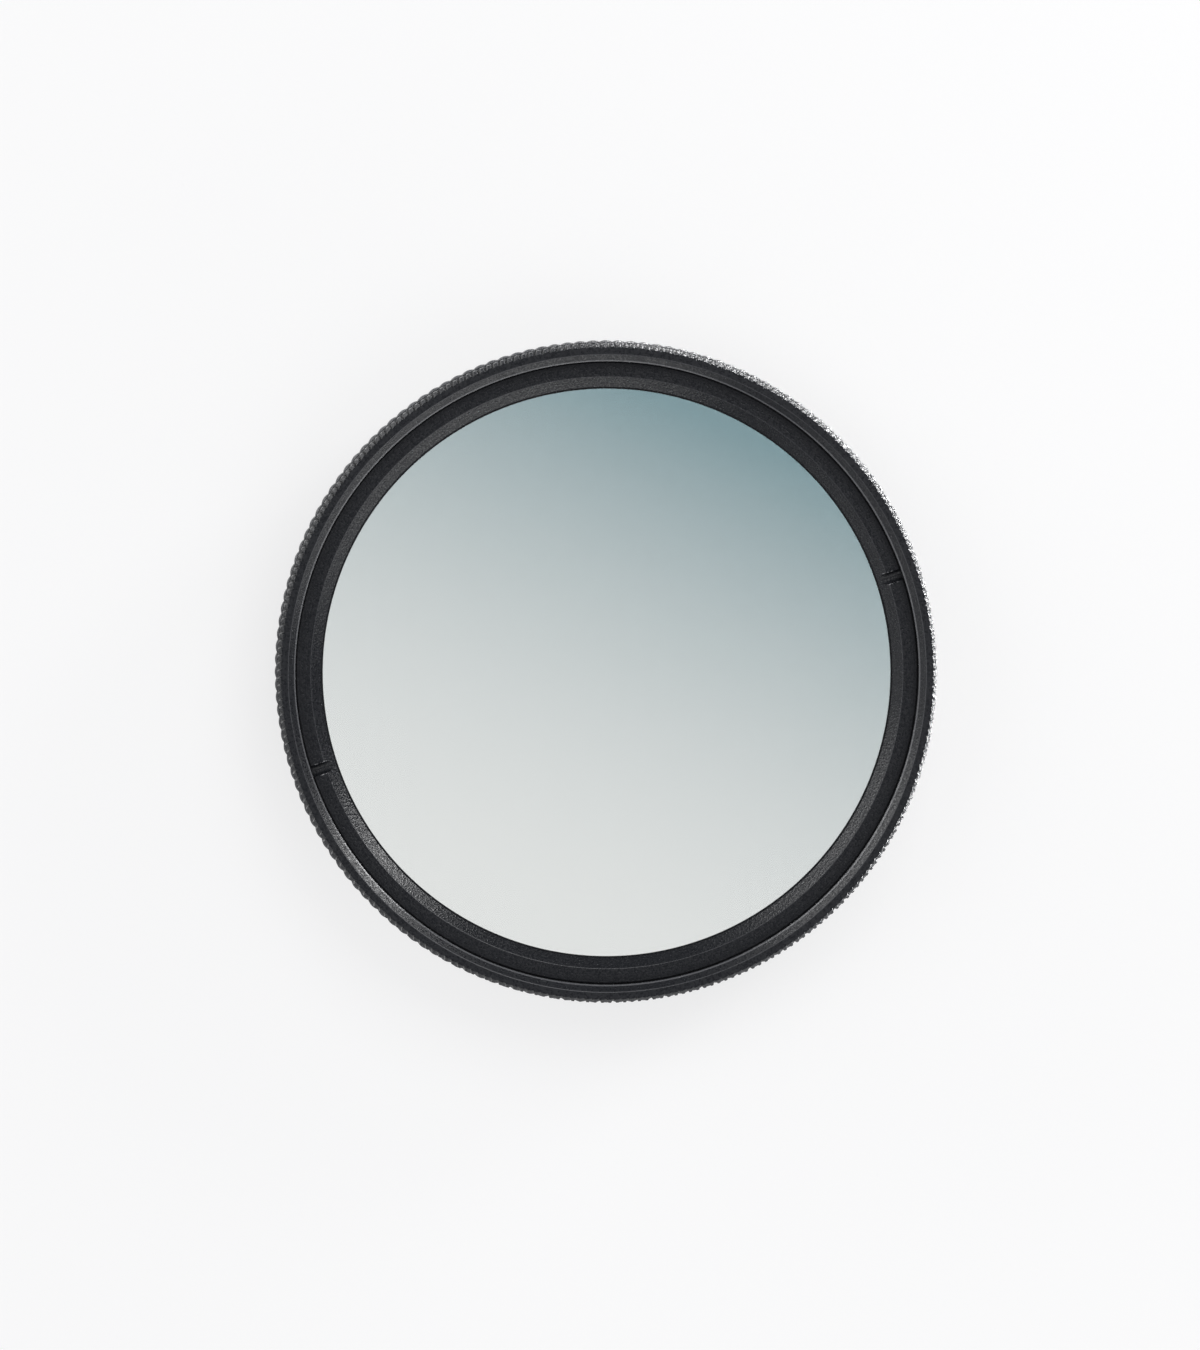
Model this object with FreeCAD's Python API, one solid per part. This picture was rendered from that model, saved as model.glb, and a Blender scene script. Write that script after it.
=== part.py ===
import FreeCAD, Part
import math
import os

from FreeCAD import Vector

# Variable neutral density filter for a camera lens. Two turned rings each hold a polariser, and the front
# ring turns in the mount ring between two hard stops.
# Millimetres and degrees. The optical axis is Z, the front faces +Z, and the origin is on the axis at the rear
# end of the lens thread, where the filter stands on a table.

# Metric screw thread, the same size behind for the lens and in front for a cap or a second filter
THREAD_DIAMETER = 67.0
THREAD_PITCH = 0.75
THREAD_LENGTH = 3.0
THREAD_LEAD = 0.4
THREAD_WALL = 1.6

# Mount ring
COARSE_PITCH = 1.385
COARSE_DEPTH = 0.17
COARSE_PROUD = 0.25
FLOOR_RISE = 0.5
REAR_WEB = 0.6
REAR_SEAT = 1.0
BEARING_STEP = 1.3

# Front ring
FINE_PITCH = 0.79
FINE_DEPTH = 0.45
FINE_CREST = 0.27
RIM_WIDTH = 1.25
RIM_DEPTH = 1.9
LEAD_IN = 0.65
CAP_LEDGE = 0.6
LEDGE_RISE = 0.05
FRONT_WEB = 0.45
FRONT_SEAT = 1.55

# Polarisers, each a film between two glass discs, the rear one with a quarter wave film as well
GLASS_THICKNESS = 0.55
FILM_THICKNESS = 0.1

# Retaining rings and their spanner slots
FRONT_FLAT = 1.0
FRONT_CONE = 1.29
FRONT_RETAINER_HEIGHT = 1.15
REAR_FLAT = 0.65
REAR_CONE = 0.6
REAR_RETAINER_HEIGHT = 1.0
RETAINER_LAND = 0.12
SLOT_WIDTH = 1.25
SLOT_DEPTH = 0.6
FRONT_SLOT_ANGLE = 18.5
REAR_SLOT_ANGLE = 60.0

# Split spring ring that keeps the front ring in the mount ring
SNAP_WIRE = 0.5
SNAP_GAP_ANGLE = 8.0
SNAP_LAND = 0.25
SNAP_LIP = 0.3

# Headless stop screw, and how far the front ring turns between its stops
STOP_TRAVEL = 70.0
STOP_ANGLE = 250.0
STOP_SCREW_DIAMETER = 1.0
STOP_SCREW_RISE = 0.15
STOP_SCREW_SINK = 0.15
STOP_SLOT_DEPTH = 0.6
DRIVE_WIDTH = 0.2
DRIVE_DEPTH = 0.3

# Clearances
RING_GAP = 0.2
END_CLEARANCE = 0.15
RUNNING_CLEARANCE = 0.05
SCREWED_CLEARANCE = 0.04
GLASS_CLEARANCE = 0.12
SNAP_CLEARANCE = 0.05
STOP_CLEARANCE = 0.05

# Height of a metric female thread's ridges, as a share of its pitch
RIDGE_SHARE = 0.5413

# Flats that stand for the round top of one coarse tooth
SCALLOP_FLATS = 3

AXIS = Vector(0, 0, 1)
ORIGIN = Vector(0, 0, 0)
FULL_TURN = 360.0

# Radii, from the thread outwards and inwards
thread_r = THREAD_DIAMETER / 2
cap_thread_r = thread_r - RIDGE_SHARE * THREAD_PITCH
lead_in_r = cap_thread_r + LEAD_IN
fine_r = lead_in_r + RIM_WIDTH
coarse_r = fine_r + COARSE_PROUD
bearing_r = thread_r - BEARING_STEP
skirt_r = bearing_r - RUNNING_CLEARANCE
front_pocket_r = cap_thread_r - CAP_LEDGE
front_web_r = front_pocket_r - FRONT_SEAT
rear_bore_r = thread_r - THREAD_WALL
rear_web_r = rear_bore_r - REAR_SEAT
snap_inner_r = (bearing_r + skirt_r - SNAP_WIRE) / 2
snap_outer_r = snap_inner_r + SNAP_WIRE
snap_mount_r = snap_outer_r + SNAP_CLEARANCE
snap_skirt_r = skirt_r - SNAP_WIRE - SNAP_CLEARANCE
stop_slot_r = skirt_r - STOP_SLOT_DEPTH
stop_screw_r = STOP_SCREW_DIAMETER / 2
stop_tip_r = stop_slot_r + STOP_CLEARANCE
stop_head_r = coarse_r - COARSE_DEPTH - STOP_SCREW_SINK

# Heights, from the rear end to the front rim
shoulder_z = THREAD_LENGTH
floor_z = shoulder_z + FLOOR_RISE
skirt_end_z = floor_z + END_CLEARANCE
stop_z = floor_z + STOP_SCREW_RISE + stop_screw_r
stop_slot_top_z = stop_z + stop_screw_r + STOP_CLEARANCE
snap_low_z = stop_slot_top_z + SNAP_LAND
snap_wire_z = snap_low_z + SNAP_CLEARANCE
snap_high_z = snap_wire_z + SNAP_WIRE + SNAP_CLEARANCE
mount_top_z = snap_high_z + SNAP_LIP
front_base_z = mount_top_z + RING_GAP
front_seat_z = front_base_z + FRONT_WEB
front_film_z = front_seat_z + GLASS_THICKNESS
front_outer_z = front_film_z + FILM_THICKNESS
front_glass_z = front_outer_z + GLASS_THICKNESS
retainer_z = front_glass_z + FRONT_RETAINER_HEIGHT
ledge_z = retainer_z + LEDGE_RISE
rim_z = retainer_z + RIM_DEPTH
rear_seat_z = floor_z - REAR_WEB
rear_inner_z = rear_seat_z - GLASS_THICKNESS
rear_film_z = rear_inner_z - FILM_THICKNESS
wave_film_z = rear_film_z - FILM_THICKNESS
rear_glass_z = wave_film_z - GLASS_THICKNESS


def polar(radius, angle):
    return Vector(radius * math.cos(angle), radius * math.sin(angle), 0)


def section(corners):
    """A face in the XZ plane from (radius, height) corners."""
    points = [Vector(radius, 0, height) for radius, height in corners]
    return Part.Face(Part.makePolygon(points + points[:1]))


def turned(corners, sweep=FULL_TURN):
    return section(corners).revolve(ORIGIN, AXIS, sweep)


def tooth_count(radius, pitch):
    return round(2 * math.pi * radius / pitch)


def vee_outline(radius, pitch, depth, crest):
    """Flat crests between sharp V grooves."""
    count = tooth_count(radius, pitch)
    step = 2 * math.pi / count
    half_crest = crest / radius / 2
    points = []
    for tooth in range(count):
        middle = tooth * step
        points.append(polar(radius, middle - half_crest))
        points.append(polar(radius, middle + half_crest))
        points.append(polar(radius - depth, middle + step / 2))
    return Part.makePolygon(points + points[:1])


def scallop_outline(radius, pitch, depth):
    """Round-topped teeth that meet in narrow valleys, each arc as three flats."""
    count = tooth_count(radius, pitch)
    step = 2 * math.pi / count
    valley_r = radius - depth
    points = []
    for tooth in range(count):
        middle = tooth * step
        start = polar(valley_r, middle - step / 2)
        end = polar(valley_r, middle + step / 2)
        tooth_arc = Part.Arc(start, polar(radius, middle), end)
        points += tooth_arc.discretize(SCALLOP_FLATS + 1)[:-1]
    return Part.makePolygon(points + points[:1])


def knurled(blank, outline, low_z, high_z):
    """Cuts a straight knurl through the whole height of a turned blank."""
    teeth = Part.Face(outline).extrude(AXIS * (high_z - low_z))
    teeth.translate(AXIS * low_z)
    return blank.common(teeth)


def stop_screw_blank(radius, inner_r, outer_r):
    """A rod along the stop screw's own radial line."""
    outward = polar(1, math.radians(STOP_ANGLE))
    return Part.makeCylinder(radius, outer_r - inner_r, outward * inner_r + AXIS * stop_z, outward)


def make_mount_ring():
    blank = turned([
        (rear_bore_r, 0),
        (thread_r - THREAD_LEAD, 0),
        (thread_r, THREAD_LEAD),
        (thread_r, shoulder_z),
        (coarse_r, shoulder_z),
        (coarse_r, mount_top_z),
        (bearing_r, mount_top_z),
        (bearing_r, snap_high_z),
        (snap_mount_r, snap_high_z),
        (snap_mount_r, snap_low_z),
        (bearing_r, snap_low_z),
        (bearing_r, floor_z),
        (rear_web_r, floor_z),
        (rear_web_r, rear_seat_z),
        (rear_bore_r, rear_seat_z),
    ])
    ring = knurled(blank, scallop_outline(coarse_r, COARSE_PITCH, COARSE_DEPTH), 0, mount_top_z)
    return ring.cut(stop_screw_blank(stop_screw_r + SCREWED_CLEARANCE, skirt_r, coarse_r))


def make_front_ring():
    blank = turned([
        (front_web_r, skirt_end_z),
        (skirt_r, skirt_end_z),
        (skirt_r, snap_low_z),
        (snap_skirt_r, snap_low_z),
        (snap_skirt_r, snap_high_z),
        (skirt_r, snap_high_z),
        (skirt_r, front_base_z),
        (fine_r, front_base_z),
        (fine_r, rim_z),
        (lead_in_r, rim_z),
        (cap_thread_r, rim_z - LEAD_IN),
        (cap_thread_r, ledge_z),
        (front_pocket_r, ledge_z),
        (front_pocket_r, front_seat_z),
        (front_web_r, front_seat_z),
    ])
    ring = knurled(blank, vee_outline(fine_r, FINE_PITCH, FINE_DEPTH, FINE_CREST), skirt_end_z, rim_z)
    # At rest the screw waits at the slot's leading end, and the ring then turns by the whole travel
    end_angle = math.degrees(math.asin((stop_screw_r + STOP_CLEARANCE) / stop_tip_r))
    slot = turned([
        (stop_slot_r, skirt_end_z),
        (bearing_r, skirt_end_z),
        (bearing_r, stop_slot_top_z),
        (stop_slot_r, stop_slot_top_z),
    ], STOP_TRAVEL + 2 * end_angle)
    slot.rotate(ORIGIN, AXIS, STOP_ANGLE - STOP_TRAVEL - end_angle)
    return ring.cut(slot)


def make_retaining_ring(outer_r, flat, cone, height, slot_angle):
    """A retaining ring on z = 0, with its flat upwards and a round-bottomed slot across it."""
    cone_r = outer_r - flat
    aperture_r = cone_r - cone
    ring = turned([
        (aperture_r, 0),
        (outer_r, 0),
        (outer_r, height),
        (cone_r, height),
        (aperture_r, RETAINER_LAND),
    ])
    slot_r = SLOT_WIDTH / 2
    centre_z = height - SLOT_DEPTH + slot_r
    along = polar(1, math.radians(slot_angle))
    round_bottom = Part.makeCylinder(slot_r, 2 * outer_r, AXIS * centre_z - along * outer_r, along)
    walls = Part.makeBox(2 * outer_r, SLOT_WIDTH, height, Vector(-outer_r, -slot_r, centre_z))
    walls.rotate(ORIGIN, AXIS, slot_angle)
    return ring.cut(round_bottom.fuse(walls))


def make_front_retaining_ring():
    outer_r = front_pocket_r - SCREWED_CLEARANCE
    ring = make_retaining_ring(outer_r, FRONT_FLAT, FRONT_CONE, FRONT_RETAINER_HEIGHT, FRONT_SLOT_ANGLE)
    ring.translate(AXIS * front_glass_z)
    return ring


def make_rear_retaining_ring():
    outer_r = rear_bore_r - SCREWED_CLEARANCE
    ring = make_retaining_ring(outer_r, REAR_FLAT, REAR_CONE, REAR_RETAINER_HEIGHT, REAR_SLOT_ANGLE)
    ring.rotate(ORIGIN, Vector(1, 0, 0), FULL_TURN / 2)
    ring.translate(AXIS * rear_glass_z)
    return ring


def make_disc(pocket_r, low_z, thickness):
    return Part.makeCylinder(pocket_r - GLASS_CLEARANCE, thickness, AXIS * low_z)


def make_snap_ring():
    ring = turned([
        (snap_inner_r, snap_wire_z),
        (snap_outer_r, snap_wire_z),
        (snap_outer_r, snap_wire_z + SNAP_WIRE),
        (snap_inner_r, snap_wire_z + SNAP_WIRE),
    ], FULL_TURN - SNAP_GAP_ANGLE)
    ring.rotate(ORIGIN, AXIS, STOP_ANGLE + SNAP_GAP_ANGLE / 2)
    return ring


def make_stop_screw():
    screw = stop_screw_blank(stop_screw_r, stop_tip_r, stop_head_r)
    drive = Part.makeBox(DRIVE_DEPTH, STOP_SCREW_DIAMETER, DRIVE_WIDTH)
    drive.translate(Vector(stop_head_r - DRIVE_DEPTH, -stop_screw_r, stop_z - DRIVE_WIDTH / 2))
    drive.rotate(ORIGIN, AXIS, STOP_ANGLE)
    return screw.cut(drive)


pieces = {
    "mount_ring": make_mount_ring(),
    "rear_retaining_ring": make_rear_retaining_ring(),
    "rear_outer_glass": make_disc(rear_bore_r, rear_glass_z, GLASS_THICKNESS),
    "quarter_wave_film": make_disc(rear_bore_r, wave_film_z, FILM_THICKNESS),
    "rear_polarising_film": make_disc(rear_bore_r, rear_film_z, FILM_THICKNESS),
    "rear_inner_glass": make_disc(rear_bore_r, rear_inner_z, GLASS_THICKNESS),
    "snap_ring": make_snap_ring(),
    "stop_screw": make_stop_screw(),
    "front_ring": make_front_ring(),
    "front_inner_glass": make_disc(front_pocket_r, front_seat_z, GLASS_THICKNESS),
    "front_polarising_film": make_disc(front_pocket_r, front_film_z, FILM_THICKNESS),
    "front_outer_glass": make_disc(front_pocket_r, front_outer_z, GLASS_THICKNESS),
    "front_retaining_ring": make_front_retaining_ring(),
}

os.makedirs("parts", exist_ok=True)
for name, shape in pieces.items():
    shape.exportStep(f"parts/{name}.step")
    print(name, shape.ShapeType, len(shape.Solids), shape.isValid(), round(shape.Volume, 2))
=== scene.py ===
import math

import bpy
from mathutils import Matrix, Vector


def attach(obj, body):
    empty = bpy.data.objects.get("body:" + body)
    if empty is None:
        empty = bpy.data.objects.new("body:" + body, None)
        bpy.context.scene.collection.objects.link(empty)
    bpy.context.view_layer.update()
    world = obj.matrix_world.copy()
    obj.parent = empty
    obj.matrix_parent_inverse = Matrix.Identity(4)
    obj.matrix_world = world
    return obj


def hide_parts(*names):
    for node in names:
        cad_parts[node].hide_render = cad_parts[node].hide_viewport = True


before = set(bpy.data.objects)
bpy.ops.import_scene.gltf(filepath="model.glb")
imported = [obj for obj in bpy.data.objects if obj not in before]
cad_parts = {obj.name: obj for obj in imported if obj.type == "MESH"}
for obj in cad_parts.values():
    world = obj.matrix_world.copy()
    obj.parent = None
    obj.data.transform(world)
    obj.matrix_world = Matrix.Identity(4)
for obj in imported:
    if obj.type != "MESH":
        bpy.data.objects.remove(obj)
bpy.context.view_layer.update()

# Sizes are in millimetres, as in the part's source, and the scene is in metres
MM = 0.001
TURN = 2 * math.pi
FULL_TURN = 360.0

# Edges of the turned pieces
SHARP = 0.0
EDGE_BREAK = 0.05
SHARP_ANGLE = math.radians(33)
WELD = 0.001

# Both screw threads, and how many points each ridge gets along the wall
THREAD_PITCH = 0.75
RIDGE_POINTS = 12
THREAD_FADE = 0.15
THREAD_FLAT = 0.12
THREAD_START = 0.6
THREAD_MARGIN = 0.03

# Cap thread inside the front ring, with its lead-in cone and the relief below it
CAP_THREAD_RADIUS = 33.094
CAP_THREAD_DEPTH = 0.406
LEAD_IN_RADIUS = 33.85
RELIEF_FLOOR = 8.3

# Lens thread outside the mount ring, with the cone at its end
LENS_THREAD_RADIUS = 33.5
LENS_THREAD_DEPTH = 0.46
LENS_THREAD_TOP = 2.55
LENS_CONE_RADIUS = 33.1

# Knurls, and how many steps of the turn each tooth takes
FINE_TEETH = 278
FINE_STEPS = 3
FINE_TIP = 34.994
FINE_DEPTH = 0.45
GROOVE_RUNOUT = 0.45
TOOTH_CHAMFER = 0.36
COARSE_TEETH = 160
COARSE_STEPS = 6
COARSE_TIP = 35.244
COARSE_DEPTH = 0.17

# Heights that more than one piece has
RIM_TOP = 10.75
LEDGE_TOP = 8.85
SNAP_LOW = 4.95
SNAP_HIGH = 5.55

# Hard stop of the front ring
STOP_ANGLE = 250.0
STOP_TRAVEL = 70.0
STOP_Z = 4.15

# Spanner slots of the two retaining rings
SLOT_WIDTH = 1.25
SLOT_LENGTH = 70.0
SLOT_RISE = 2.0
FRONT_SLOT_Z = 8.875
FRONT_SLOT_TURN = math.radians(18.5)
REAR_SLOT_Z = 0.575
REAR_SLOT_TURN = math.radians(-60)
RETAINER_SEGMENTS = 720

# Codes of an outline's points, which add up: whether a point is on a thread, and whether the face after
# it is a broken edge or is rubbed all over, both of which are painted lighter as highlight lines
PLAIN = 0.0
THREAD = 1.0
EDGE = 2.0
RUBBED_HIGHLIGHT_FACE = 4.0


def feed(tree, place, value):
    """Links a socket to an input, or sets the input to a plain value."""
    if isinstance(value, Socket):
        tree.links.new(value.output, place)
    else:
        place.default_value = value


class Socket:
    """An output in a node tree. Arithmetic on it adds Math nodes to that tree."""

    def __init__(self, tree, output):
        self.tree = tree
        self.output = output

    def node(self, kind, settings=None, inputs=None, output=0):
        """Adds any other node, sets it up, feeds its inputs and returns one of its outputs."""
        made = self.tree.nodes.new(kind)
        for name, value in (settings or {}).items():
            setattr(made, name, value)
        for key, value in (inputs or {}).items():
            feed(self.tree, made.inputs[key], value)
        return Socket(self.tree, made.outputs[output])

    def maths(self, operation, *values):
        inputs = dict(enumerate(values))
        return self.node("ShaderNodeMath", {"operation": operation}, inputs)

    def xyz(self):
        first = self.node("ShaderNodeSeparateXYZ", inputs={0: self})
        return [Socket(self.tree, output) for output in first.output.node.outputs]

    def vector(self, x=0.0, y=0.0, z=0.0):
        return self.node("ShaderNodeCombineXYZ", inputs={0: x, 1: y, 2: z})

    def limited(self):
        return self.node("ShaderNodeClamp", inputs={"Value": self})

    def blend(self, first, second):
        """A colour between two others, with this value as the share of the second."""
        colours = {"Factor": self, 6: first, 7: second}
        return self.node("ShaderNodeMix", {"data_type": "RGBA"}, colours, output=2)

    def triangle(self):
        """A wave that is 0 at whole numbers and 1 halfway between them."""
        return 1 - abs(2 * self.maths("FRACT", self) - 1)

    def __add__(self, other):
        return self.maths("ADD", self, other)

    __radd__ = __add__

    def __sub__(self, other):
        return self.maths("SUBTRACT", self, other)

    def __rsub__(self, other):
        return self.maths("SUBTRACT", other, self)

    def __mul__(self, other):
        return self.maths("MULTIPLY", self, other)

    __rmul__ = __mul__

    def __truediv__(self, other):
        return self.maths("DIVIDE", self, other)

    def __pow__(self, other):
        return self.maths("POWER", self, other)

    def __mod__(self, other):
        return self.maths("FLOORED_MODULO", self, other)

    def __abs__(self):
        return self.maths("ABSOLUTE", self)


# Inputs of the tree that turns an outline, with the values of a plain turned piece
TURNED_INPUTS = {
    "Points": ("Int", 3),
    "Rows": ("Int", 4),
    "Segments": ("Int", 360),
    "Teeth": ("Int", 1),
    "Tooth Shift": ("Float", 0.0),
    "Tip Radius": ("Float", 1.0),
    "Groove Depth": ("Float", 0.0),
    "Crest Share": ("Float", 0.0),
    "Groove Power": ("Float", 1.0),
    "Groove Low": ("Float", -1.0),
    "Thread Side": ("Float", 1.0),
    "Thread Radius": ("Float", 0.0),
    "Thread Depth": ("Float", 0.0),
    "Thread Low": ("Float", 0.0),
    "Thread High": ("Float", 0.0),
    "Slot Radius": ("Float", 1.0),
    "Slot Start": ("Float", 0.0),
    "Slot End": ("Float", 0.0),
    "Slot Top": ("Float", 0.0),
    "Cut": ("Bool", False),
    "Cut Width": ("Float", 0.001),
    "Cut Length": ("Float", 0.001),
    "Cut Rise": ("Float", 0.001),
    "Cut Place": ("Vector", (0.0, 0.0, 0.0)),
    "Cut Turn": ("Vector", (0.0, 0.0, 0.0)),
    "Material": ("Material", None),
}

# Sides of the rod that gives a cut its round bottom
ROD_SIDES = 48


def thread_radius(size, radius, code, height, turn):
    """Screw thread: right-handed ridges that fade out at the ends of the wall."""
    threaded = code % EDGE
    ridge = (height / (THREAD_PITCH * MM) - turn - THREAD_START).triangle()
    ridge = ((ridge - THREAD_FLAT) / (1 - 2 * THREAD_FLAT)).limited()
    ridge = ridge * ((height - size["Thread Low"]) / (THREAD_FADE * MM)).limited()
    ridge = ridge * ((size["Thread High"] - height) / (THREAD_FADE * MM)).limited()
    side = size["Thread Side"]
    wall = side * size["Thread Radius"] + size["Thread Depth"] * ridge
    wall = side * radius.maths("MAXIMUM", side * radius, wall)
    return radius + threaded * (wall - radius)


def knurl_radius(size, radius, height, turn):
    """Knurl: straight grooves that may run out at their lower end."""
    groove = (turn * size["Teeth"] + size["Tooth Shift"]).triangle()
    groove = ((groove - size["Crest Share"]) / (1 - size["Crest Share"])).limited()
    groove = groove ** size["Groove Power"] * size["Groove Depth"]
    groove = groove * ((height - size["Groove Low"]) / (GROOVE_RUNOUT * MM)).limited()
    return radius.maths("MINIMUM", radius, size["Tip Radius"] - groove)


def stop_slot_radius(size, radius, height, turn):
    """Stop slot: part of the turn is cut back, up to a height."""
    in_slot = radius.maths("GREATER_THAN", turn, size["Slot Start"])
    in_slot = in_slot * radius.maths("LESS_THAN", turn, size["Slot End"])
    in_slot = in_slot * radius.maths("LESS_THAN", height, size["Slot Top"])
    return radius - in_slot * radius.maths("MAXIMUM", radius - size["Slot Radius"], 0)


def welded(piece):
    return piece.node("GeometryNodeMergeByDistance", inputs={"Geometry": piece, "Distance": WELD * MM})


def cut_out(size, piece):
    """Round-bottomed cut: a rod with a bar over it, laid along X, then turned and moved."""
    rod = piece.node("GeometryNodeMeshCylinder", inputs={
        "Vertices": ROD_SIDES,
        "Radius": size["Cut Width"] / 2,
        "Depth": size["Cut Length"],
    })
    along_x = (0, math.pi / 2, 0)
    rod = piece.node("GeometryNodeTransform", inputs={"Geometry": rod, "Rotation": along_x})
    bar_size = piece.vector(size["Cut Length"], size["Cut Width"], size["Cut Rise"])
    bar = piece.node("GeometryNodeMeshCube", inputs={"Size": bar_size})
    lift = piece.vector(z=size["Cut Rise"] / 2)
    bar = piece.node("GeometryNodeTransform", inputs={"Geometry": bar, "Translation": lift})
    heading = piece.node("FunctionNodeEulerToRotation", inputs={0: size["Cut Turn"]})
    cut_piece = piece
    for cutter in (rod, bar):
        cutter = piece.node("GeometryNodeTransform", inputs={
            "Geometry": cutter,
            "Translation": size["Cut Place"],
            "Rotation": heading,
        })
        cut_piece = piece.node(
            "GeometryNodeMeshBoolean",
            {"operation": "DIFFERENCE", "solver": "EXACT"},
            {"Mesh 1": cut_piece, "Mesh 2": cutter},
        )
    return piece.node("GeometryNodeSwitch", {"input_type": "GEOMETRY"}, {
        "Switch": size["Cut"],
        "False": piece,
        "True": cut_piece,
    })


def turned_tree():
    """Turns an object's own outline round the Z axis, with a knurl, a thread, a stop slot and a cut."""
    tree = bpy.data.node_groups.new("turned piece", "GeometryNodeTree")
    tree.interface.new_socket("Outline", in_out="INPUT", socket_type="NodeSocketGeometry")
    for name, (kind, _) in TURNED_INPUTS.items():
        tree.interface.new_socket(name, in_out="INPUT", socket_type=f"NodeSocket{kind}")
    tree.interface.new_socket("Piece", in_out="OUTPUT", socket_type="NodeSocketGeometry")
    inlet = tree.nodes.new("NodeGroupInput")
    size = {output.name: Socket(tree, output) for output in inlet.outputs if output.name}
    outline = size["Outline"]

    # A flat grid with a row for each point of the outline and a column for each step of the turn
    reach = size["Rows"] - 1
    grid = outline.node("GeometryNodeMeshGrid", inputs={
        "Size X": reach,
        "Size Y": size["Segments"],
        "Vertices X": size["Rows"],
        "Vertices Y": size["Segments"] + 1,
    })
    position = outline.node("GeometryNodeInputPosition")
    along, around, _ = position.xyz()
    turn = around / size["Segments"] + 0.5

    def outline_at(rounding):
        """Radius, code and height of the outline's point in a row."""
        row = outline.maths(rounding, along + reach / 2) % size["Points"]
        corner = outline.node(
            "GeometryNodeSampleIndex",
            {"data_type": "FLOAT_VECTOR", "domain": "POINT"},
            {"Geometry": outline, "Value": position, "Index": row},
        )
        return corner.xyz()

    # A face lies between two rows, so its row is rounded down. Broken edges are marked with a half, and
    # faces that are rubbed all over with one; the material paints both lighter as highlight lines.
    edge = outline.maths("FLOOR", outline_at("FLOOR")[1] / EDGE) * (EDGE / RUBBED_HIGHLIGHT_FACE)
    grid = outline.node("GeometryNodeStoreNamedAttribute", {"data_type": "FLOAT", "domain": "FACE"}, {
        "Geometry": grid,
        "Name": "edge",
        "Value": edge,
    })
    radius, code, height = outline_at("ROUND")
    radius = thread_radius(size, radius, code, height, turn)
    radius = knurl_radius(size, radius, height, turn)
    radius = stop_slot_radius(size, radius, height, turn)

    # The grid is bent round the axis, closed and cut
    angle = turn * TURN
    x = radius * outline.maths("COSINE", angle)
    y = radius * outline.maths("SINE", angle)
    place = outline.vector(x, y, height)
    piece = outline.node("GeometryNodeSetPosition", inputs={"Geometry": grid, "Position": place})
    piece = outline.node("GeometryNodeFlipFaces", inputs={"Mesh": welded(piece)})
    piece = welded(cut_out(size, piece))

    bend = outline.node("GeometryNodeInputMeshEdgeAngle")
    piece = outline.node("GeometryNodeSetShadeSmooth", {"domain": "EDGE"}, {
        "Geometry": piece,
        "Selection": outline.maths("GREATER_THAN", bend, SHARP_ANGLE),
        "Shade Smooth": False,
    })
    piece = outline.node("GeometryNodeRealizeInstances", inputs={"Geometry": piece})
    piece = outline.node("GeometryNodeSetMaterial", inputs={
        "Geometry": piece,
        "Material": size["Material"],
    })
    outlet = tree.nodes.new("NodeGroupOutput")
    feed(tree, outlet.inputs["Piece"], piece)
    return tree


TURNED_TREE = turned_tree()


def broken_edges(corners):
    """The outline's points, with a flat on each outward corner, and what the face after each is.

    An outline runs counter-clockwise. A corner is its radius and height, then how far its edge is broken
    where that isn't the usual amount, then the code of the next face where that isn't plain.
    """
    outline = []
    for number, corner in enumerate(corners):
        here = Vector(corner[:2])
        arriving = (here - Vector(corners[number - 1][:2])).normalized()
        leaving = (Vector(corners[(number + 1) % len(corners)][:2]) - here).normalized()
        flat = corner[2] if len(corner) > 2 else EDGE_BREAK
        if flat == SHARP or arriving.cross(leaving) <= 0:
            outline.append((here, corner[3] if len(corner) > 3 else PLAIN))
        else:
            outline += [(here - arriving * flat, EDGE), (here + leaving * flat, PLAIN)]
    return outline


def thread_points(outline, on_thread):
    """(radius, code, height) points, close together on the threaded wall."""
    points = []
    for number, (here, face) in enumerate(outline):
        after = outline[(number + 1) % len(outline)][0]
        steps = 1
        if on_thread(here) and on_thread(after):
            steps = math.ceil((after - here).length * RIDGE_POINTS / THREAD_PITCH)
        for step in range(steps):
            point = here.lerp(after, step / steps)
            code = face + (THREAD if on_thread(point) else PLAIN)
            points.append((point.x, code, point.y))
    return points


def no_thread(point):
    return False


def on_cap_thread(point):
    """Whether a point of the front ring lies on the cap thread's wall or its lead-in cone."""
    inner = CAP_THREAD_RADIUS - THREAD_MARGIN
    outer = LEAD_IN_RADIUS + THREAD_MARGIN
    return inner < point.x < outer and point.y > RELIEF_FLOOR - THREAD_MARGIN


def on_lens_thread(point):
    """Whether a point of the mount ring lies on the lens thread's wall or the cone at its end."""
    inner = LENS_CONE_RADIUS - THREAD_MARGIN
    outer = LENS_THREAD_RADIUS + THREAD_MARGIN
    return inner < point.x < outer and point.y < LENS_THREAD_TOP + THREAD_MARGIN


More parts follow.
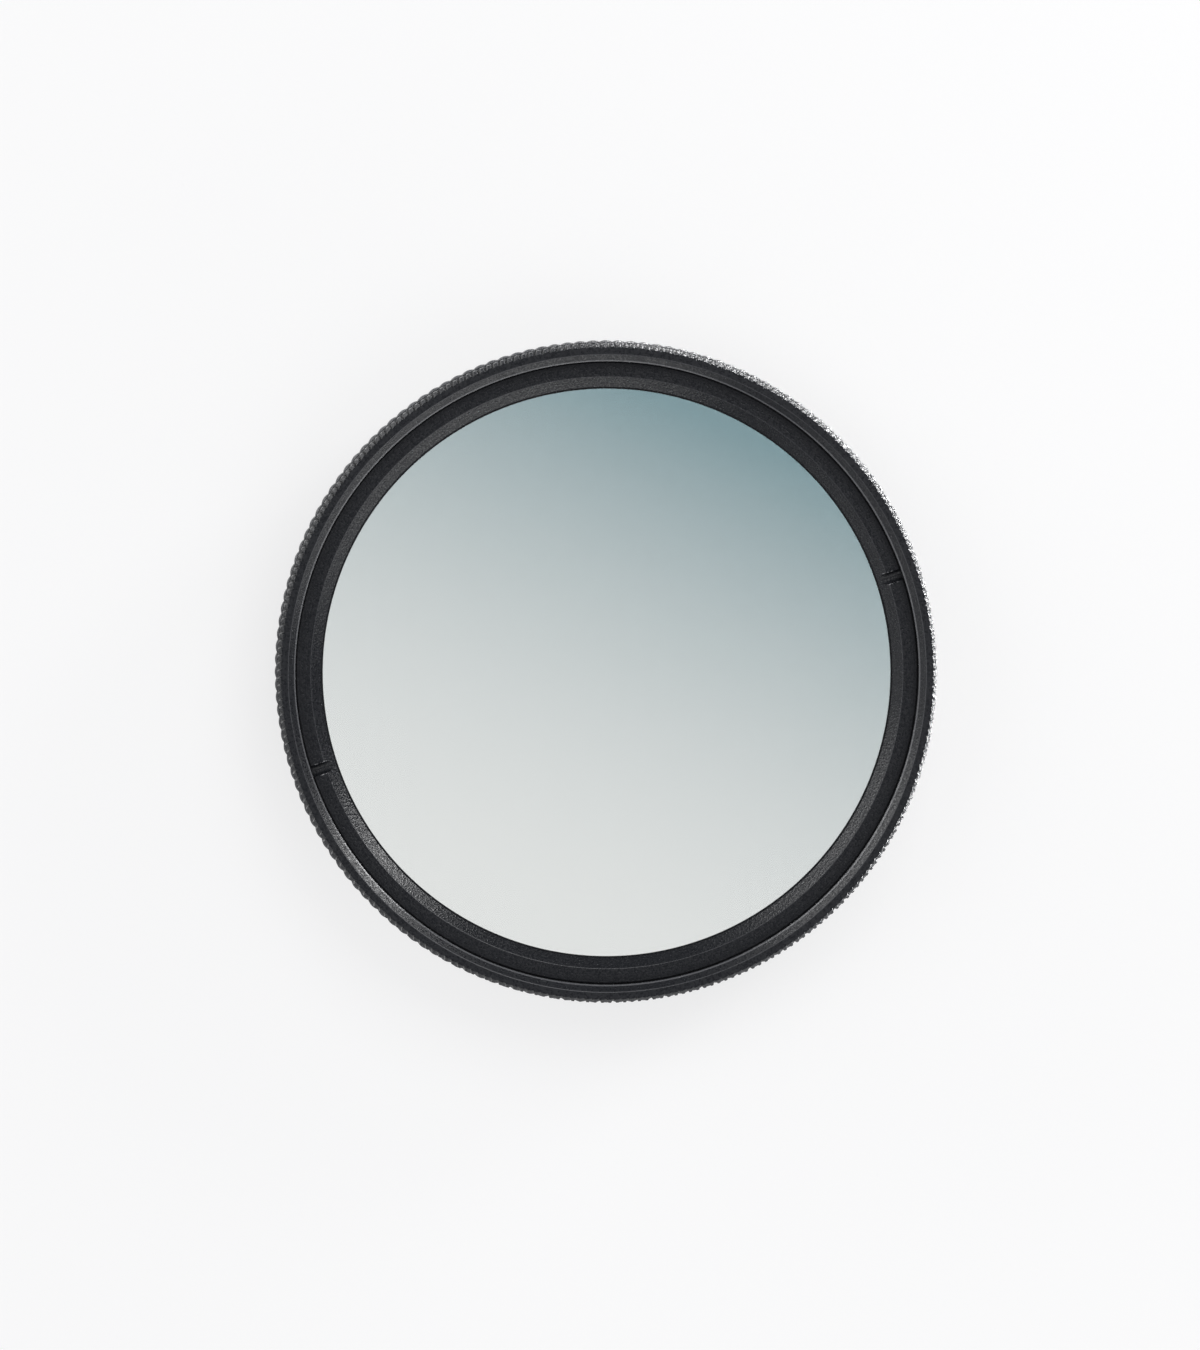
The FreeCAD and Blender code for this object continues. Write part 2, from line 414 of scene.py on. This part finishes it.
def turned_piece(name, body, node, slot, material, corners, on_thread=no_thread, closed=True, **sizes):
    """Makes one turned piece in place of a CAD node. Corners are in millimetres, sizes in metres."""
    points = thread_points(broken_edges(corners), on_thread)
    mesh = bpy.data.meshes.new(name)
    mesh.from_pydata([Vector((r * MM, code, z * MM)) for r, code, z in points], [], [])
    piece = bpy.data.objects.new(name, mesh)
    bpy.context.scene.collection.objects.link(piece)
    modifier = piece.modifiers.new("turned", "NODES")
    modifier.node_group = TURNED_TREE
    values = {label: value for label, (_, value) in TURNED_INPUTS.items()}
    values.update({label.replace("_", " "): value for label, value in sizes.items()})
    values["Points"] = len(points)
    values["Rows"] = len(points) + 1 if closed else len(points)
    values["Material"] = material
    for item in TURNED_TREE.interface.items_tree:
        if item.in_out == "INPUT" and item.name in values:
            modifier[item.identifier] = values[item.name]
    graph = bpy.context.evaluated_depsgraph_get()
    finished = bpy.data.meshes.new_from_object(piece.evaluated_get(graph))
    piece.modifiers.remove(modifier)
    piece.data = finished
    bpy.data.meshes.remove(mesh)
    finished.name = name
    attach(piece, body)
    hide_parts(node)


def round_cut(width, length, rise, place, turn):
    """The sizes of a round-bottomed cut, given in millimetres and radians."""
    return {
        "Cut": True,
        "Cut_Width": width * MM,
        "Cut_Length": length * MM,
        "Cut_Rise": rise * MM,
        "Cut_Place": tuple(part * MM for part in place),
        "Cut_Turn": turn,
    }


def front_ring(material):
    """The ring that the hand turns: fine knurl, cap thread, stop slot, and a notch in its ledge."""
    aperture = 30.944
    skirt = 32.15
    skirt_low = 3.65
    stop_slot_top = 4.7
    stop_slot_step = 0.01
    stop_slot_end = 1.6
    stop_slot_floor = 31.55
    snap_floor = 31.6
    knurl_low = 6.05
    knurl_break = 0.06
    groove_low = 6.12
    groove_full = 6.6
    rim_break = 0.04
    rubbed_highlight_radius = 33.24
    rubbed_highlight_z = 10.222
    cone_foot = 10.096
    ridges_low = 8.5
    ridges_high = 10.1
    ledge = 32.93
    pocket = 32.494
    seat = 6.5
    notch_length = 66.0
    notch_rise = 0.1
    corners = (
        (aperture, skirt_low),
        (skirt, skirt_low),
        (skirt, stop_slot_top - stop_slot_step, SHARP),
        (skirt, stop_slot_top + stop_slot_step, SHARP),
        (skirt, SNAP_LOW),
        (snap_floor, SNAP_LOW),
        (snap_floor, SNAP_HIGH),
        (skirt, SNAP_HIGH),
        (skirt, knurl_low),
        (FINE_TIP, knurl_low, knurl_break),
        (FINE_TIP, groove_full, SHARP),
        (FINE_TIP, RIM_TOP - TOOTH_CHAMFER, SHARP),
        (FINE_TIP - TOOTH_CHAMFER, RIM_TOP, SHARP),
        (LEAD_IN_RADIUS, RIM_TOP, rim_break),
        # The face after this corner is rubbed and painted lighter as a highlight line
        (rubbed_highlight_radius, rubbed_highlight_z, SHARP, RUBBED_HIGHLIGHT_FACE),
        (CAP_THREAD_RADIUS, cone_foot, SHARP),
        (CAP_THREAD_RADIUS, RELIEF_FLOOR),
        (ledge, RELIEF_FLOOR),
        (ledge, LEDGE_TOP, SHARP),
        (pocket, LEDGE_TOP, SHARP),
        (pocket, seat),
        (aperture, seat),
    )
    notch_place = (0.0, 0.0, FRONT_SLOT_Z)
    notch_turn = (0.0, 0.0, FRONT_SLOT_TURN)
    turned_piece(
        "knurled_front_ring", "front", "front_ring", "black_anodised", material, corners, on_cap_thread,
        Segments=FINE_STEPS * FINE_TEETH,
        Teeth=FINE_TEETH,
        Tooth_Shift=1 / (2 * FINE_STEPS),
        Tip_Radius=FINE_TIP * MM,
        Groove_Depth=FINE_DEPTH * MM,
        Crest_Share=1 / FINE_STEPS,
        Groove_Low=groove_low * MM,
        Thread_Radius=CAP_THREAD_RADIUS * MM,
        Thread_Depth=CAP_THREAD_DEPTH * MM,
        Thread_Low=ridges_low * MM,
        Thread_High=ridges_high * MM,
        Slot_Radius=stop_slot_floor * MM,
        Slot_Start=(STOP_ANGLE - STOP_TRAVEL - stop_slot_end) / FULL_TURN,
        Slot_End=(STOP_ANGLE + stop_slot_end) / FULL_TURN,
        Slot_Top=stop_slot_top * MM,
        **round_cut(SLOT_WIDTH, notch_length, notch_rise, notch_place, notch_turn),
    )


def mount_ring(material):
    """The ring that screws onto a lens: coarse knurl, lens thread, and the stop screw's hole."""
    rear_bore = 31.9
    cone_top = 0.4
    ridges_low = -0.5
    ridges_high = 2.9
    undercut = 33.04
    undercut_low = 2.6
    flange_low = 3.0
    flange_top = 5.85
    flange_break = 0.2
    bearing = 32.2
    bearing_floor = 3.5
    snap_floor = 32.475
    aperture = 30.9
    seat = 2.9
    screw_hole = 1.08
    screw_hole_length = 4.0
    screw_hole_rise = 0.1
    screw_hole_radius = 34.0
    corners = (
        (rear_bore, 0),
        (LENS_CONE_RADIUS, 0),
        (LENS_THREAD_RADIUS, cone_top, SHARP),
        (LENS_THREAD_RADIUS, LENS_THREAD_TOP, SHARP),
        (undercut, undercut_low, SHARP),
        (undercut, flange_low, SHARP),
        (COARSE_TIP, flange_low, flange_break),
        (COARSE_TIP, flange_top, flange_break),
        (bearing, flange_top),
        (bearing, SNAP_HIGH),
        (snap_floor, SNAP_HIGH),
        (snap_floor, SNAP_LOW),
        (bearing, SNAP_LOW),
        (bearing, bearing_floor),
        (aperture, bearing_floor),
        (aperture, seat),
        (rear_bore, seat),
    )
    heading = math.radians(STOP_ANGLE)
    hole_x = screw_hole_radius * math.cos(heading)
    hole_y = screw_hole_radius * math.sin(heading)
    hole_place = (hole_x, hole_y, STOP_Z)
    hole_turn = (0.0, 0.0, heading)
    turned_piece(
        "knurled_mount_ring", "mount", "mount_ring", "black_anodised", material, corners, on_lens_thread,
        Segments=COARSE_STEPS * COARSE_TEETH,
        Teeth=COARSE_TEETH,
        Tip_Radius=COARSE_TIP * MM,
        Groove_Depth=COARSE_DEPTH * MM,
        Groove_Power=2.0,
        Thread_Side=-1.0,
        Thread_Radius=LENS_THREAD_RADIUS * MM,
        Thread_Depth=LENS_THREAD_DEPTH * MM,
        Thread_Low=ridges_low * MM,
        Thread_High=ridges_high * MM,
        **round_cut(screw_hole, screw_hole_length, screw_hole_rise, hole_place, hole_turn),
    )


def front_retainer(material):
    """The screwed ring over the front glass: inner cone, narrow groove beside the glass, two slots."""
    inner = 30.164
    outer = 32.49
    low = 7.7
    flat_inner = 31.454
    flat_break = 0.03
    cone_foot = 30.37
    cone_low = 7.984
    groove_floor = 7.72
    lip = 30.194
    lip_top = 7.85
    corners = (
        (inner, low, SHARP),
        (outer, low),
        (outer, LEDGE_TOP, SHARP),
        (flat_inner, LEDGE_TOP, flat_break),
        (cone_foot, cone_low, SHARP),
        (cone_foot, groove_floor, SHARP),
        (lip, groove_floor, SHARP),
        (lip, lip_top, SHARP),
        (inner, lip_top, SHARP),
    )
    slot_place = (0.0, 0.0, FRONT_SLOT_Z)
    slot_turn = (0.0, 0.0, FRONT_SLOT_TURN)
    turned_piece(
        "slotted_front_retainer", "front", "front_retaining_ring", "black_anodised", material, corners,
        Segments=RETAINER_SEGMENTS,
        **round_cut(SLOT_WIDTH, SLOT_LENGTH, SLOT_RISE, slot_place, slot_turn),
    )


def rear_retainer(material):
    """The screwed ring over the rear glass, with its inner cone and two slots that open downwards."""
    inner = 30.61
    outer = 31.86
    low = 0.6
    high = 1.6
    flat_inner = 31.21
    flat_break = 0.03
    land_low = 1.48
    land_break = 0.02
    corners = (
        (outer, high),
        (inner, high, SHARP),
        (inner, land_low, land_break),
        (flat_inner, low, flat_break),
        (outer, low),
    )
    slot_place = (0.0, 0.0, REAR_SLOT_Z)
    slot_turn = (math.pi, 0.0, REAR_SLOT_TURN)
    turned_piece(
        "slotted_rear_retainer", "mount", "rear_retaining_ring", "black_anodised", material, corners,
        Segments=RETAINER_SEGMENTS,
        **round_cut(SLOT_WIDTH, SLOT_LENGTH, SLOT_RISE, slot_place, slot_turn),
    )


# Films, which are a little thinner than the solids so that they share no face with the glass
FILM_THICKNESS = 0.1
FILM_AIR = 0.006
FILM_BREAK = 0.02
FRONT_FILM_RADIUS = 32.374
FRONT_FILM_Z = 7.05
REAR_FILM_RADIUS = 31.78
REAR_FILM_Z = 2.25
WAVE_FILM_Z = 2.15


def film_disc(name, body, node, slot, material, radius, z):
    """A thin disc, turned from half its outline: from the axis out and back again."""
    low = z + FILM_AIR
    high = z + FILM_THICKNESS - FILM_AIR
    corners = (
        (0, low, SHARP),
        (radius, low, FILM_BREAK),
        (radius, high, FILM_BREAK),
        (0, high, SHARP),
    )
    turned_piece(name, body, node, slot, material, corners, closed=False)


def new_material(name):
    """A material, its surface shader and its object coordinates."""
    material = bpy.data.materials.new(name)
    material.use_nodes = True
    tree = material.node_tree
    shader = tree.nodes["Principled BSDF"]
    coordinates = tree.nodes.new("ShaderNodeTexCoord")
    return material, shader, Socket(tree, coordinates.outputs["Object"])


def finish_surface(shader, **inputs):
    for name, value in inputs.items():
        feed(shader.id_data, shader.inputs[name.replace("_", " ")], value)


def noise(place, scale, detail=2.0):
    return place.node("ShaderNodeTexNoise", inputs={"Vector": place, "Scale": scale, "Detail": detail})


def lines_along(value, scale):
    """Noise that changes along one value only, as the lines of a lathe or a drawing die do."""
    return value.node("ShaderNodeTexNoise", {"noise_dimensions": "1D"}, {"W": value, "Scale": scale})


# Black anodising: the blasting's grain, the uneven dye and the lathe lines
BLAST_SCALE = 4600.0
BLAST_LOW = 0.3
BLAST_SPAN = 0.4
DYE_SCALE = 260.0
LATHE_SCALE = 8000.0

# What each of them does to the colour, the height and the roughness
DYE_SHARE = 0.4
BLAST_SHARE = 0.3
LATHE_SHARE = 0.3
GRAIN_HEIGHT = 0.03
LATHE_HEIGHT = 0.35
BLAST_ROUGHNESS = 0.28
LATHE_ROUGHNESS = 0.2
RUBBED_HIGHLIGHT_SMOOTHNESS = 0.12

# Colours of the dye, of rubbed edges with a painted highlight, and of bare slot edges with painted
# glints
DARK_DYE = (0.0075, 0.0084, 0.0103, 1)
LIGHT_DYE = (0.015, 0.0168, 0.0204, 1)
RUBBED_HIGHLIGHT = (0.12, 0.122, 0.128, 1)
BARE_GLINT = (0.5, 0.5, 0.51, 1)

# Bare edges of the spanner slots, painted bright as glints: how far from the slot's middle, how wide,
# from which radius, and how much the grain breaks them up
BARE_GLINT_ASIDE = 0.64
BARE_GLINT_WIDTH = 0.07
BARE_GLINT_INNER = 31.05
BARE_GLINT_FADE = 0.1
BARE_GLINT_CONTRAST = 3
BARE_GLINT_START = 1.2


def black_anodised(name, rough, grain, slot_turn=None):
    """Blasted and anodised aluminium: fine grain, faint lathe lines, an uneven dye, rubbed edges painted
    lighter as highlights, and painted glints on slot edges.
    """
    material, shader, place = new_material(name)
    x, y, _ = place.xyz()
    radius = (x * x + y * y) ** 0.5
    blast = ((noise(place, BLAST_SCALE, 1.0) - BLAST_LOW) / BLAST_SPAN).limited()
    dye = noise(place, DYE_SCALE)
    lathe = lines_along(radius, LATHE_SCALE)
    edge = place.node("ShaderNodeAttribute", {"attribute_name": "edge"}, output="Fac")
    share = DYE_SHARE * dye + BLAST_SHARE * blast + LATHE_SHARE * lathe
    # Rubbed edges and rubbed faces are painted lighter, as highlight lines
    tone = edge.blend(share.blend(DARK_DYE, LIGHT_DYE), RUBBED_HIGHLIGHT)
    # Painted glints: bare metal along the slots' edges is painted bright, broken up by the grain
    if slot_turn is not None:
        aside = abs(y * math.cos(slot_turn) - x * math.sin(slot_turn))
        bare_glint = (1 - abs(aside - BARE_GLINT_ASIDE * MM) / (BARE_GLINT_WIDTH * MM)).limited()
        bare_glint = bare_glint * ((radius - BARE_GLINT_INNER * MM) / (BARE_GLINT_FADE * MM)).limited()
        bare_glint = bare_glint * (BARE_GLINT_CONTRAST * blast - BARE_GLINT_START)
        tone = bare_glint.limited().blend(tone, BARE_GLINT)
    relief = place.node("ShaderNodeBump", inputs={
        "Strength": grain,
        "Distance": GRAIN_HEIGHT * MM,
        "Height": blast + LATHE_HEIGHT * lathe,
    })
    roughness = rough + BLAST_ROUGHNESS * (blast - 0.5) + LATHE_ROUGHNESS * (lathe - 0.5)
    finish_surface(
        shader,
        Base_Color=tone,
        Roughness=roughness - RUBBED_HIGHLIGHT_SMOOTHNESS * edge,
        Normal=relief,
    )
    return material


def coated_glass(name):
    """Clear glass under a thin coating, with faint wipe marks."""
    hazy = (0.995, 0.998, 0.998, 1)
    clear = (0.999, 1, 1, 1)
    material, shader, place = new_material(name)
    wiped = noise(place, scale=90.0, detail=4.0)
    finish_surface(
        shader,
        Base_Color=wiped.blend(hazy, clear),
        Roughness=0.0,
        Transmission_Weight=1.0,
        IOR=1.2,
    )
    return material


def polarising_film(name, clear, dark, heading):
    """A clear film that gets denser and bluer across the disc towards one side."""
    reach = 29
    steepness = 1.6
    material, shader, place = new_material(name)
    x, y, _ = place.xyz()
    across = (x * math.cos(heading) + y * math.sin(heading)) / (reach * MM)
    density = ((across + 1) / 2).limited() ** steepness
    finish_surface(
        shader,
        Base_Color=density.blend(clear, dark),
        Roughness=0.0,
        Transmission_Weight=1.0,
        IOR=1.01,
    )
    return material


def thin_film(name, tint, cover):
    """A film that only veils what is behind it, with faint lines from its drawing."""
    line_shade = 0.85
    line_cover = 0.004
    material, shader, place = new_material(name)
    x, _, _ = place.xyz()
    drawn = lines_along(x, scale=900.0)
    darker = [line_shade * part for part in tint[:3]] + [1.0]
    finish_surface(
        shader,
        Base_Color=drawn.blend(tint, darker),
        Roughness=0.3 + 0.1 * drawn,
        Alpha=cover + line_cover * drawn,
        Specular_IOR_Level=0.0,
    )
    return material


def drawn_steel(name, dark, light, rough):
    """Drawn steel with fine lines round the axis."""
    line_height = 0.01
    material, shader, place = new_material(name)
    x, y, z = place.xyz()
    lines = lines_along((x * x + y * y) ** 0.5 + z, scale=25000.0)
    stain = noise(place, scale=1500.0)
    relief = place.node("ShaderNodeBump", inputs={
        "Strength": 0.3,
        "Distance": line_height * MM,
        "Height": lines,
    })
    finish_surface(
        shader,
        Base_Color=(0.5 * lines + 0.5 * stain).blend(dark, light),
        Metallic=1.0,
        Roughness=rough + 0.2 * (stain - 0.5),
        Normal=relief,
    )
    return material


# The finishes of this filter
ring_black = black_anodised("black_anodised", rough=0.36, grain=0.35)
front_black = black_anodised("blasted_black_front", rough=0.31, grain=0.6, slot_turn=FRONT_SLOT_TURN)
rear_black = black_anodised("blasted_black_rear", rough=0.31, grain=0.6, slot_turn=REAR_SLOT_TURN)
glass = coated_glass("coated_glass")
front_film = polarising_film(
    "polarising_film",
    clear=(0.985, 1.0, 0.985, 1),
    dark=(0.285, 0.415, 0.45, 1),
    heading=math.radians(66),
)
rear_film = thin_film("rear_polarising_film", tint=(0.3, 0.33, 0.33, 1), cover=0.012)
wave_film = thin_film("retarder_film", tint=(0.4, 0.42, 0.42, 1), cover=0.006)
spring_steel = drawn_steel(
    "spring_steel", dark=(0.3, 0.3, 0.31, 1), light=(0.5, 0.5, 0.51, 1), rough=0.35,
)
blackened_steel = drawn_steel(
    "blackened_steel", dark=(0.03, 0.03, 0.033, 1), light=(0.07, 0.07, 0.075, 1), rough=0.45,
)

# The pieces that are made anew
front_ring(ring_black)
mount_ring(ring_black)
front_retainer(front_black)
rear_retainer(rear_black)
film_disc(
    "front_film_disc", "front", "front_polarising_film", "polarising_film", front_film,
    FRONT_FILM_RADIUS, FRONT_FILM_Z,
)
film_disc(
    "rear_film_disc", "mount", "rear_polarising_film", "polarising_film", rear_film,
    REAR_FILM_RADIUS, REAR_FILM_Z,
)
film_disc(
    "wave_film_disc", "mount", "quarter_wave_film", "retarder_film", wave_film,
    REAR_FILM_RADIUS, WAVE_FILM_Z,
)

# The pieces that are shown as the CAD made them
CAD_FINISHES = {
    "front_outer_glass": glass,
    "front_inner_glass": glass,
    "rear_inner_glass": glass,
    "rear_outer_glass": glass,
    "snap_ring": spring_steel,
    "stop_screw": blackened_steel,
}
for node, material in CAD_FINISHES.items():
    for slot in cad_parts[node].material_slots:
        slot.material = material


def pale_floor():
    """A wide floor that is near white to the eye and through glass, and still takes the shadow."""
    reach = 4.0
    low = -0.05 * MM
    mesh = bpy.data.meshes.new("floor")
    corners = [(-reach, -reach, low), (reach, -reach, low), (reach, reach, low), (-reach, reach, low)]
    mesh.from_pydata(corners, [], [(0, 1, 2, 3)])
    floor = bpy.data.objects.new("floor", mesh)
    bpy.context.scene.collection.objects.link(floor)
    material = bpy.data.materials.new("pale_floor")
    material.use_nodes = True
    tree = material.node_tree
    tree.nodes.remove(tree.nodes["Principled BSDF"])
    rays = tree.nodes.new("ShaderNodeLightPath")
    direct = Socket(tree, rays.outputs["Is Camera Ray"])
    direct = direct.maths("MAXIMUM", direct, Socket(tree, rays.outputs["Is Glossy Ray"]))
    through = Socket(tree, rays.outputs["Is Transmission Ray"])

    def matt(grey):
        return direct.node("ShaderNodeBsdfDiffuse", inputs={"Color": (grey, grey, grey, 1)})

    def bright(glow):
        colour = (glow, glow, glow, 1)
        return direct.node("ShaderNodeEmission", inputs={"Color": colour, "Strength": 1.0})

    def lit(grey, glow):
        return direct.node("ShaderNodeAddShader", inputs={0: bright(glow), 1: matt(grey)})

    to_light = matt(grey=0.8)
    to_eye = lit(grey=0.3, glow=0.72)
    surface = direct.node("ShaderNodeMixShader", inputs={0: direct, 1: to_light, 2: to_eye})
    through_glass = bright(glow=0.838)
    surface = direct.node("ShaderNodeMixShader", inputs={0: through, 1: surface, 2: through_glass})
    feed(tree, tree.nodes["Material Output"].inputs["Surface"], surface)
    mesh.materials.append(material)


def softbox(name, azimuth, elevation, wide, tall, radiance, distance):
    """An area light that faces the filter, with its brightness as a surface and its size in degrees."""
    azimuth = math.radians(azimuth)
    elevation = math.radians(elevation)
    width = 2 * distance * math.tan(math.radians(wide) / 2)
    height = 2 * distance * math.tan(math.radians(tall) / 2)
    light = bpy.data.lights.new(name, "AREA")
    light.shape = "RECTANGLE"
    light.size = width
    light.size_y = height
    light.energy = radiance * math.pi * width * height
    lamp = bpy.data.objects.new(name, light)
    bpy.context.scene.collection.objects.link(lamp)
    away = Vector((
        math.cos(elevation) * math.cos(azimuth),
        math.cos(elevation) * math.sin(azimuth),
        math.sin(elevation),
    ))
    lamp.location = away * distance
    lamp.rotation_euler = away.to_track_quat("Z", "Y").to_euler()
    lamp.visible_camera = False


# Even light from all round
SKY = (0.2, 0.202, 0.222, 1)

# How far off the lamps are, in metres: boxes above, boxes near the horizon and strips beside the rim
HIGH = 1.2
LEVEL = 1.0
NEAR = 0.25


def studio():
    """Even light, and lamps by azimuth, elevation, width and height in degrees, then brightness."""
    world = bpy.data.worlds.new("studio")
    world.use_nodes = True
    world.node_tree.nodes["Background"].inputs["Color"].default_value = SKY
    bpy.context.scene.world = world
    softbox("key", 62, 54, 36, 32, 2.3, HIGH)
    softbox("fill_left", 165, 48, 40, 35, 1.0, HIGH)
    softbox("fill_low", 305, 52, 40, 35, 1.0, HIGH)
    softbox("rim_right", 37, 10, 14, 20, 12.0, LEVEL)
    softbox("rim_left", 145, 8.5, 45, 17, 4.2, LEVEL)
    softbox("rim_low", 300, 9.5, 95, 19, 2.1, LEVEL)
    softbox("rim_back", 205, 8.5, 60, 17, 1.0, LEVEL)
    softbox("strip_right", 8, 1.0, 70, 1.6, 200.0, NEAR)
    softbox("strip_top", 64, 1.0, 46, 1.6, 150.0, NEAR)
    bpy.context.scene.view_settings.view_transform = "Standard"


def camera():
    """Nearly straight above, a little to the upper left, with the filter's place in the frame."""
    distance = 1.6
    frame_height = 0.14316
    sensor = 36.0
    aim = Vector((-0.793 * MM, -0.146 * MM, RIM_TOP * MM))
    away = Vector((-0.027, 0.0386, 0.9989)).normalized()
    right = Vector((0, 1, 0)).cross(away).normalized()
    turned = Matrix((right, away.cross(right), away)).transposed()
    lens = bpy.data.cameras.new("camera")
    lens.sensor_width = sensor
    lens.lens = sensor * distance / frame_height
    lens.clip_start = 0.1
    eye = bpy.data.objects.new("camera", lens)
    bpy.context.scene.collection.objects.link(eye)
    eye.location = aim + away * distance
    eye.rotation_euler = turned.to_euler()
    bpy.context.scene.camera = eye


pale_floor()
studio()
camera()
